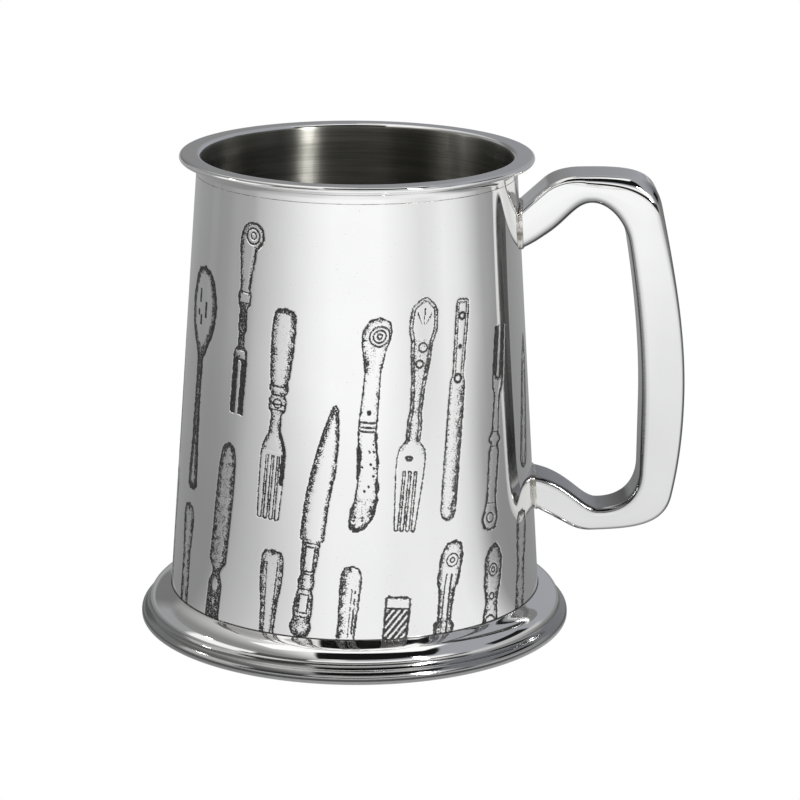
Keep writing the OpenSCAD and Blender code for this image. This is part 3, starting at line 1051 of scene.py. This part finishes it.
OUTER_SIDE = [
    at(-0.11, 0.888),
    at(-0.04, 0.915), at(0.03, 0.943), at(0.1, 0.970),
    at(0.155, 0.991), at(0.245, 1), at(0.34, 1),
    at(0.69, 1.004), at(0.79, 0.988), at(0.825, 0.912),
    at(0.93, 0.705), at(1, 0.546), at(1, 0.377),
    at(1, 0.262), at(0.975, 0.175), at(0.94, 0.1),
    at(0.9, 0.012), at(0.7, 0.004), at(0.42, 0),
    at(0.366, 0), at(0.32, 0.006), at(0.265, 0.02),
    at(0.165, 0.044), at(0.06, 0.068), at(-0.04, 0.09),
]
INNER_SIDE = [
    at(-0.11, 0.79),
    at(-0.04, 0.80), at(0.02, 0.812), at(0.09, 0.834),
    at(0.23, 0.872), at(0.28, 1, 0, -UPPER_ARM_T), at(0.385, 1, 0, -UPPER_ARM_T),
    at(0.49, 1, 0, -UPPER_ARM_T), at(0.87, 0.874, -GRIP_W), at(0.895, 0.808, -GRIP_W),
    at(0.955, 0.66, -GRIP_W), at(1, 0.5, -GRIP_W), at(1, 0.35, -GRIP_W),
    at(1, 0.285, -GRIP_W), at(1, 0.23, -GRIP_W), at(1, 0.175, -GRIP_W),
    at(1, 0.105, -GRIP_W), at(0.63, 0, 0, LOWER_ARM_T), at(0.475, 0, 0, LOWER_ARM_T),
    at(0.435, 0, 0, LOWER_ARM_T), at(0.39, 0.078), at(0.345, 0.094),
    at(0.245, 0.128), at(0.155, 0.158), at(-0.04, 0.162),
]


def chained(points, steps):
    """One line through a chain of steered curves: each starts where the last one ended."""
    starts = range(0, len(points) - 1, 3)
    return np.concatenate([steered(points[k:k + 4], steps)[min(k, 1):] for k in starts])


# %% Sections between the two outlines
CURVE_STEPS = 40
CROWN = 0.12 * MM
SOFTER_SHOULDER = 2.6 * MM
SHOULDER_AT, SHOULDER_LENGTH = 2.62, 0.5
SOFTER_UNDER_ARM = 0.9 * MM
UNDER_ARM_AT, UNDER_ARM_LENGTH = 1.2, 0.9
PER_SIDE, PER_CORNER = 10, 8
SECTION_POINTS = 4 * (PER_SIDE + PER_CORNER)


def section(half_w, half_d, outer_edge, inner_edge):
    """A rounded rectangle, (across, sideways) for each point: four arcs joined by straight sides."""
    plain = np.full_like(half_w, EDGE_R)
    corners = [(1, 1, 0, plain), (-1, 1, 90, plain), (-1, -1, 180, inner_edge), (1, -1, 270, outer_edge)]
    a = np.radians(np.linspace(0, 90, PER_CORNER + 1))
    parts = []
    for sx, sy, start, r in corners:
        turn = a + math.radians(start)
        across = sx * (half_w - r)[:, None] + r[:, None] * np.cos(turn)[None, :]
        sideways = sy * (half_d - r)[:, None] + r[:, None] * np.sin(turn)[None, :]
        parts.append(np.stack([across, sideways], -1))
    sides = []
    for k, part in enumerate(parts):
        following = parts[(k + 1) % 4][:, :1]
        share = np.linspace(0, 1, PER_SIDE + 1)[1:-1][None, :, None]
        bulge_out = 4 * share * (1 - share)
        side = part[:, -1:] * (1 - share) + following * share
        if k in (0, 2):
            side[..., 1] += CROWN * bulge_out[..., 0] * (1 if k == 0 else -1)
        sides += [part, side]
    return np.concatenate(sides, 1)


def handle_lines(grow):
    """The handle's skin as lines along it: one row per station, one column per section point."""
    outer, inner = chained(OUTER_SIDE, CURVE_STEPS), chained(INNER_SIDE, CURVE_STEPS)
    middle, half = (outer + inner) / 2, (outer - inner) / 2
    half_w = np.linalg.norm(half, axis=1)
    across = half / half_w[:, None]
    depth = DEPTH_LOW + (DEPTH_TOP - DEPTH_LOW) * (middle[:, 1] - HANDLE_LOW) / HANDLE_H
    curve = np.linspace(0, len(OUTER_SIDE) // 3, len(outer))
    shoulder = SOFTER_SHOULDER * np.exp(-((curve - SHOULDER_AT) / SHOULDER_LENGTH) ** 2)
    under_arm = SOFTER_UNDER_ARM * np.exp(-((curve - UNDER_ARM_AT) / UNDER_ARM_LENGTH) ** 2)
    rings = section(half_w + grow, depth / 2 - CROWN + grow, EDGE_R + shoulder, EDGE_R + under_arm)
    x = middle[:, :1] + across[:, :1] * rings[..., 0]
    z = middle[:, 1:] + across[:, 1:] * rings[..., 0]
    return np.stack([x, rings[..., 1], z], -1)


def walk(lines, places):
    """Points at fractional stations of each line, blended between the two nearest stations."""
    low = np.clip(np.floor(places).astype(int), 0, len(lines) - 2)
    share = (places - low)[..., None]
    start = np.take_along_axis(lines, low[..., None].repeat(3, -1), 0)
    stop = np.take_along_axis(lines, low[..., None].repeat(3, -1) + 1, 0)
    return start * (1 - share) + stop * share


def crossings(lines, off):
    """Fractional stations where each line leaves and meets again the cone that lies off the wall."""
    gap = np.hypot(lines[..., 0], lines[..., 1]) - wall_radius(lines[..., 2]) - off
    outside = gap > 0
    first = outside.argmax(0)
    last = len(lines) - 1 - outside[::-1].argmax(0)
    col = np.arange(lines.shape[1])
    before, after = gap[first - 1, col], gap[first, col]
    leave = first - after / (after - before)
    before, after = gap[last, col], gap[last + 1, col]
    meet = last + before / (before - after)
    return leave, meet


# %% Handle skin
INNER_COLUMNS = (17, 20, 42, 45)
PAINTED_SHADE_FROM_Z, PAINTED_SHADE_OVER_Z = 92, 66


def handle():
    """Each line of the skin, walked from one crossing with the cone to the other."""
    lines = handle_lines(0.0)
    leave, meet = crossings(lines, PAD_T)
    share = np.linspace(0.0, 1.0, len(lines))[:, None]
    points = walk(lines, leave + share * (meet - leave))
    rows, count = points.shape[:2]
    caps = (np.arange(count), (rows - 1) * count + np.arange(count)[::-1])
    quads = grid_faces(rows, count, False, True)[:, ::-1]
    return make_mesh("handle_fine", points.reshape(-1, 3), quads, caps)


def grip_painted_shade(piece):
    """Painted shade: dark on the side towards the cup, more so low down and less where it faces up; dark
    outside where the skin faces away; faintly all over, more low down.
    """
    normals = np.zeros(len(piece.data.vertices) * 3, np.float32)
    piece.data.vertex_normals.foreach_get("vector", normals)
    spots = np.zeros_like(normals)
    piece.data.vertices.foreach_get("co", spots)
    facing, upward, height = normals[0::3], normals[2::3], spots[2::3] / MM
    low = np.clip((PAINTED_SHADE_FROM_Z - height) / PAINTED_SHADE_OVER_Z, 0, 1)
    column = np.arange(len(facing)) % SECTION_POINTS
    inner = np.clip(0.47 + 0.67 * low, 0.72, 0.95) * np.interp(column, INNER_COLUMNS, (0, 1, 1, 0))
    inner *= 1 - 0.4 * np.clip(upward, 0, 1)
    outer = 0.72 * np.clip((facing - 0.35) / 0.3, 0, 1) * (column >= INNER_COLUMNS[-1])
    return np.maximum.reduce([inner, outer, 0.02 + 0.13 * low])


grip = handle()
# painted shade on the grip: darker reflections painted into its colour on the inner and outer sides and
# low down
paint_points(grip, "dull", grip_painted_shade(grip))
fit(grip, POLISHED, "polished_pewter", "handle")

# %% [markdown]
# ## Solder at the handle's ends
# Each end of the handle stands on a pad of solder that fills the gap to the curved wall. The pad is
# dressed to a soft roll all round, which catches a thin bright line.

# %% Solder pads
PAD_OUT = 0.3 * MM
PAD_IN = 0.02 * MM


def solder_pad(name, upper, rings=12):
    """Rings of the handle's own section, from the wall out to the handle, swelling as a sine does."""
    loops = []
    for share in np.linspace(0.0, 1.0, rings):
        swell = PAD_OUT * math.sin(math.pi * (0.12 + 0.8 * share)) - PAD_IN
        lines = handle_lines(swell)
        leave, meet = crossings(lines, PAD_T * share)
        loops.append(walk(lines, (leave if upper else meet)[None, :])[0])
    points = np.stack(loops)
    count = points.shape[1]
    quads = grid_faces(rings, count, False, True)
    caps = (np.arange(count)[::-1], (rings - 1) * count + np.arange(count))
    if upper:
        quads, caps = quads[:, ::-1], tuple(cap[::-1] for cap in caps)
    return make_mesh(name, points.reshape(-1, 3), quads, caps)


fit(solder_pad("handle_upper_solder_fine", True), SOLDER, "soft_solder", "handle_upper_solder")
fit(solder_pad("handle_lower_solder_fine", False), SOLDER, "soft_solder", "handle_lower_solder")

# %% [markdown]
# ## The camera
# A long lens from about three quarters of a metre, looking down a little, keeps the cup's sides
# nearly straight. The small shift slides the frame without turning the camera, as the front of a
# studio camera does.

# %% Camera
LENS_MM = 138.3
CAMERA_AT = (0.0, -0.7487, 0.2653)
PITCH, YAW, ROLL = 0.2726, -0.0148, 0.0095
SHIFT_X, SHIFT_Y = 0.0005, 0.0023
CAMERA_END = 20.0


def camera():
    """Turned by yaw about the upright, then by pitch, then by roll about the line of sight."""
    level = Vector((-math.sin(YAW), math.cos(YAW), 0.0))
    right = Vector((math.cos(YAW), math.sin(YAW), 0.0))
    back = -(level * math.cos(PITCH) - Vector((0, 0, math.sin(PITCH))))
    up = level * math.sin(PITCH) + Vector((0, 0, math.cos(PITCH)))
    x_axis = right * math.cos(ROLL) + up * math.sin(ROLL)
    y_axis = up * math.cos(ROLL) - right * math.sin(ROLL)
    made = bpy.data.objects.new("camera", bpy.data.cameras.new("camera"))
    bpy.context.scene.collection.objects.link(made)
    turn = Matrix((x_axis, y_axis, back)).transposed()
    made.matrix_world = Matrix.Translation(CAMERA_AT) @ turn.to_4x4()
    made.data.lens = LENS_MM
    made.data.shift_x = SHIFT_X
    made.data.shift_y = SHIFT_Y
    made.data.clip_end = CAMERA_END
    return made


bpy.context.scene.camera = camera()
bpy.context.scene.view_settings.view_transform = "Standard"
print(f"camera: {LENS_MM} mm lens, {math.hypot(*CAMERA_AT) / MM:.0f} mm from the middle of the foot")

# %% [markdown]
# ## The table
# A mirror shows whatever lies round it. Seen from above, the wall of the cup mirrors the table, not
# the lamps, so what lies round the cup decides how it looks. A studio lays out white and grey cards
# for that. Here the floor is plain white to the eye, and only rays that come off the metal find the
# cards: bright in front, falling away to soft greys at the sides, and dark beside the foot.
# Each row of tones is (degrees from the front, tone), one ring near the cup and one farther out.


# %% A plain white floor that holds grey cards for the mirror
TABLE_R = 3.2
BELOW_FOOT = 0.02 * MM
COOL = (0.988, 0.995, 1.008)
FAR_TONES = [
    (-180, 0.42), (-150, 0.37), (-136, 0.33), (-121, 0.31), (-118, 0.33), (-112, 0.33),
    (-108, 0.31), (-98, 0.33), (-90, 0.38), (-83, 0.39), (-75, 0.42), (-70, 0.52), (-60, 0.62),
    (-50, 0.72), (-40, 0.84), (-28, 0.96), (-16, 1.04), (15, 1.06), (22, 1.0), (34, 0.90),
    (44, 0.81), (53, 0.85), (61, 0.93), (70, 0.87), (78, 0.76), (85, 0.60), (93, 0.42),
    (111, 0.30), (126, 0.30), (147, 0.36), (180, 0.42),
]
NEAR_TONES = [
    (-180, 0.36), (-112, 0.27), (-88, 0.27), (-81, 0.32), (-75, 0.42), (-66, 0.48), (-57, 0.54),
    (-47, 0.63), (-36, 0.71), (-28, 0.79), (-20, 0.91), (-12, 0.96), (10, 0.95), (22, 0.90),
    (40, 0.93), (59, 0.90), (66, 0.81), (72, 0.70), (79, 0.46), (85, 0.30), (98, 0.27),
    (125, 0.29), (180, 0.36),
]
FAR_FROM, FAR_OVER = 0.17, 0.4
SHADE_TONE = (0.15, 0.15, 0.155)
SHADE_IN_R, SHADE_OUT_R = 0.0562, 0.066


def lit_table():
    """A flat round sheet of points in rings, a hair below the foot."""
    rings, steps = 40, 180
    r = TABLE_R * np.linspace(0.002, 1.0, rings)
    a = np.linspace(0.0, 2 * np.pi, steps, endpoint=False)
    x, y = np.outer(r, np.cos(a)), np.outer(r, np.sin(a))
    points = np.stack([x, y, np.full(x.shape, TABLE_Z - BELOW_FOOT)], -1).reshape(-1, 3)
    quads = grid_faces(rings, steps, False, True)[:, ::-1]
    return make_mesh("table", points, quads, (np.arange(steps),))


def table_glow():
    """Emission only: white to the camera, and to the metal two rings of tones by turn."""
    net = Net(bpy.data.materials.new("lit_table"))
    spot = net.node("SeparateXYZ", {}, {0: net.node("TexCoord").out("Object")})
    x, y = spot.out(0), spot.out(1)
    turn = x.math("ARCTAN2", y * -1.0) / (2 * math.pi) + 0.5
    out = (x * x + y * y).math("SQRT")
    rings = []
    for tones in (NEAR_TONES, FAR_TONES):
        stops = [((angle + 180) / 360, tone) for angle, tone in tones]
        rings.append(net.node("ValToRGB", {"stops": stops}, {0: turn}).out(0))
    cards = net.mix(((out - FAR_FROM) / FAR_OVER).clamp(), *rings)
    cards = net.node("VectorMath", {"operation": "MULTIPLY"}, {0: cards, 1: COOL}).out(0)
    shade = ((SHADE_OUT_R - out) / 0.008).clamp() * ((out - SHADE_IN_R) / 0.0015).clamp()
    cards = net.mix(shade, cards, SHADE_TONE)
    seen = net.node("LightPath").out("Is Camera Ray")
    colour = net.mix(seen, cards, (1.0, 1.0, 1.0))
    glow = net.node("Emission", {}, {"Color": colour, "Strength": 1.0}).out(0)
    net.node("OutputMaterial", {}, {"Surface": glow})
    return net.owner


table = lit_table()
table.data.materials.append(table_glow())
table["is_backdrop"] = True
print(f"table: {TABLE_R:.1f} m out to its edge, {len(NEAR_TONES) + len(FAR_TONES)} card tones")

# %% [markdown]
# ## The room
# Overhead and round the cup stand soft panels with dark frames between them. Only the rounded foot,
# the rim, the handle and the inside mirror them, as bright patches with crisp dark edges. The room is
# drawn by direction alone, so it costs no lamps. Most panels are soft-edged boxes in two directions:
# rise is the height above the horizon and turn goes round from the front, both in degrees. The two
# narrow, very bright ones are strip lamps, and they draw the upright streaks inside the cup.


# %% Soft panels by direction
LEFT_WALL, RIGHT_WALL = (0.35, 0.355, 0.365), (0.36, 0.37, 0.40)
SOFT_BOXES = [
    # rise from, to and fade, turn from, to and fade, tone
    (-10, 30, 6, -100, -30, 6, 1.0),
    (-90, 24, 8, -36, 52, 8, 1.0),
    (-10, 12, 3, 52, 120, 6, 0.55),
    (3, 12, 1.5, -62, 62, 5, 0.02),
    (16, 29, 2, 84, 112, 3, 0.012),
    (5, 36, 3, -56, -27, 4, 0.08),
    (14, 60, 4, 37.5, 40, 1, 75.0),
    (28, 50, 4, -95, -92, 1, 60.0),
]
BACK_TONE = (0.19, 0.19, 0.195)
CEILING_DARK, SLIT_TONE, FLOOR_TONE = 0.008, 1.1, 0.8


def studio():
    """One colour per direction: walls, then each panel laid over what is under it."""
    world = bpy.data.worlds.new("studio")
    bpy.context.scene.world = world
    net = Net(world)
    way = net.node("SeparateXYZ", {}, {0: net.node("TexCoord").out("Generated")})
    x, y, z = way.out(0), way.out(1), way.out(2)
    turn = x.math("ARCTAN2", y * -1.0) * (180 / math.pi)
    rise = z.math("ARCSINE") * (180 / math.pi)
    above = z.math("MAXIMUM", 0.02)
    over_x, over_y = x / above, y / above

    def span(value, low, high, fade):
        """One between two limits, falling to nought over a fade outside them."""
        centre, half = (low + high) / 2, (high - low) / 2
        return ((half + fade - (value - centre).math("ABSOLUTE")) / fade).clamp()

    def lay(under, mask, tone):
        """A grey laid over what is there, as far as the mask says."""
        return net.mix(mask, under, (tone, tone, tone))

    colour = net.mix(span(turn, -180, 0, 12), RIGHT_WALL, LEFT_WALL)
    for low, high, fade, start, stop, side_fade, tone in SOFT_BOXES:
        colour = lay(colour, span(rise, low, high, fade) * span(turn, start, stop, side_fade), tone)

    # The far wall is darker on the left. A card over the left brightens towards the middle.
    behind = ((y - 0.72) / 0.12).clamp() * span(rise, 7, 27, 3)
    colour = net.mix(behind * (0.5 - x * 2.0).clamp(), colour, BACK_TONE)
    inward = ((over_x + 1.0) * 1.33).clamp()
    ceiling = inward * inward * 0.64 + 0.26
    colour = net.mix(span(turn, -175, -12, 10) * span(rise, 30, 90, 5), colour, ceiling)

    # Overhead: a dark panel with slanting ends, and one bright slit in it.
    leaning_in = ((over_x - 0.25 * over_y + 0.20) / 0.03).clamp()
    leaning_out = ((0.5 - over_x - 0.6 * over_y) / 0.03).clamp()
    dark = leaning_in * leaning_out * span(over_y, -1.2, 0.46, 0.05) * span(rise, 40, 90, 4)
    colour = lay(colour, dark, CEILING_DARK)
    slit = span(over_x, -0.5, 0.40, 0.03) * span(over_y, -0.10, 0.27, 0.02) * span(rise, 50, 90, 1)
    colour = lay(colour, slit, SLIT_TONE)

    colour = lay(colour, span(rise, -90, -1, 1), FLOOR_TONE)
    glow = net.node("Background", {}, {"Color": colour, "Strength": 1.0}).out(0)
    net.node("OutputWorld", {}, {"Surface": glow})


studio()
print(f"studio: {len(SOFT_BOXES)} soft boxes and a ceiling with one slit")

# %% [markdown]
# ## The size against the measured model
# The finished model must fill the same box as the measured one. The last line prints how far each
# side of the box has moved, in millimetres.

# %% Boxes and finish
bpy.context.view_layer.update()
made_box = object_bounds()
growth = [(b - a) / MM for a, b in zip([*measured_box[0], *measured_box[1]], [*made_box[0], *made_box[1]])]
print("box moved by, mm:", [round(v, 3) for v in growth])
